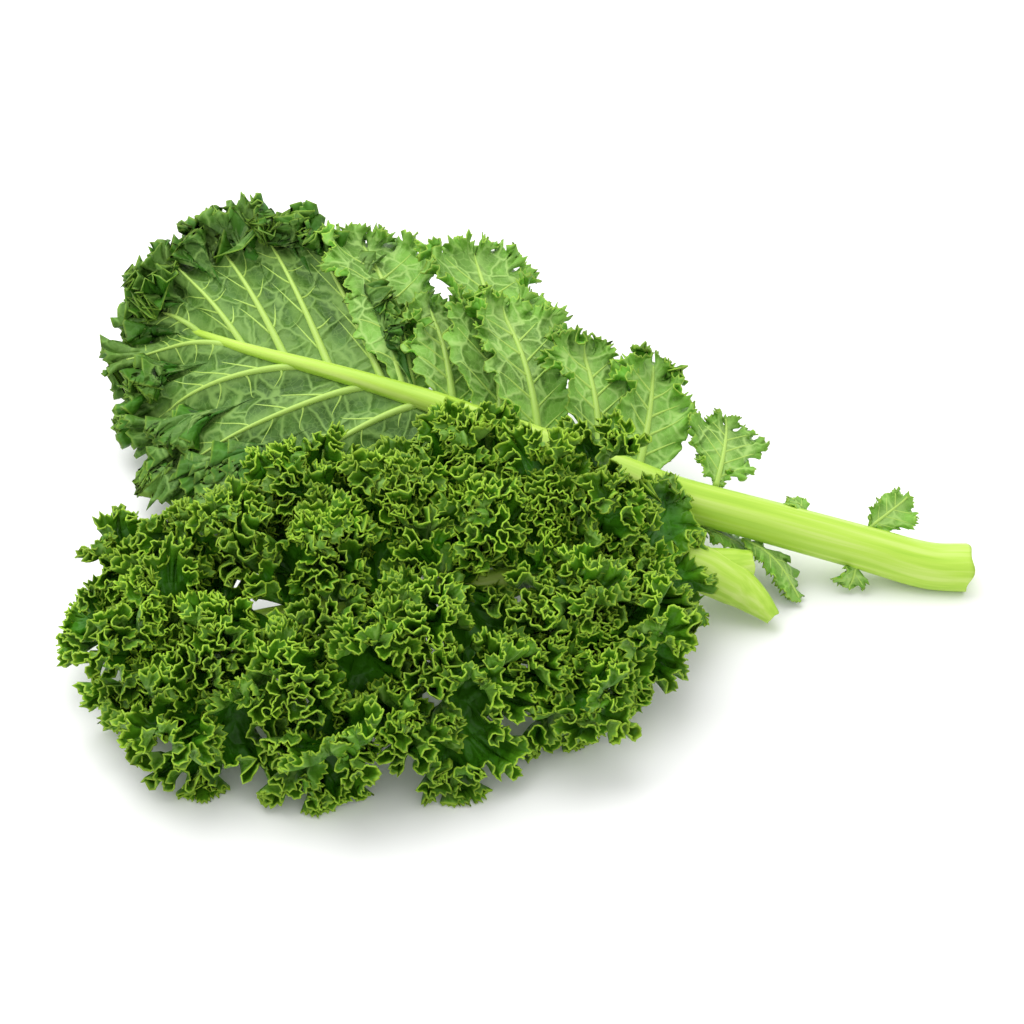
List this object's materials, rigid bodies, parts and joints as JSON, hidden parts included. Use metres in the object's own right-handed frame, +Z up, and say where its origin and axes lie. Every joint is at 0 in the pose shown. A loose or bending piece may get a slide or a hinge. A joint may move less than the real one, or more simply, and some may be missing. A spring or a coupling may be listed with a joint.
{
  "type": "kale bunch",
  "caption": "Untied bunch of curly kale lying down: a back leaf with its underside and pale ribs up, and a densely frilled leaf face up in front of it.",
  "frame": {"origin": "middle of the bunch's box in plan, on the surface it lies on", "axes": "+X towards the cut stalk ends, +Z up, -Y towards the viewer and the frilled front leaf"},
  "size_m": [0.3175, 0.2513, 0.0767],
  "materials": {
    "stalk_green": "satin",
    "underside_green": "satin",
    "frill_green": "satin"
  },
  "bodies": {
    "root": {"back_leaf_stalk": "stalk_green", "back_leaf_blade": "underside_green", "back_leaflet_1": "underside_green", "back_leaflet_2": "underside_green", "back_leaflet_3": "underside_green", "back_leaflet_4": "underside_green", "back_leaflet_5": "underside_green", "back_leaflet_6": "underside_green", "front_leaf_stalk": "stalk_green", "front_leaf_blade": "frill_green"}
  },
  "joints": []
}
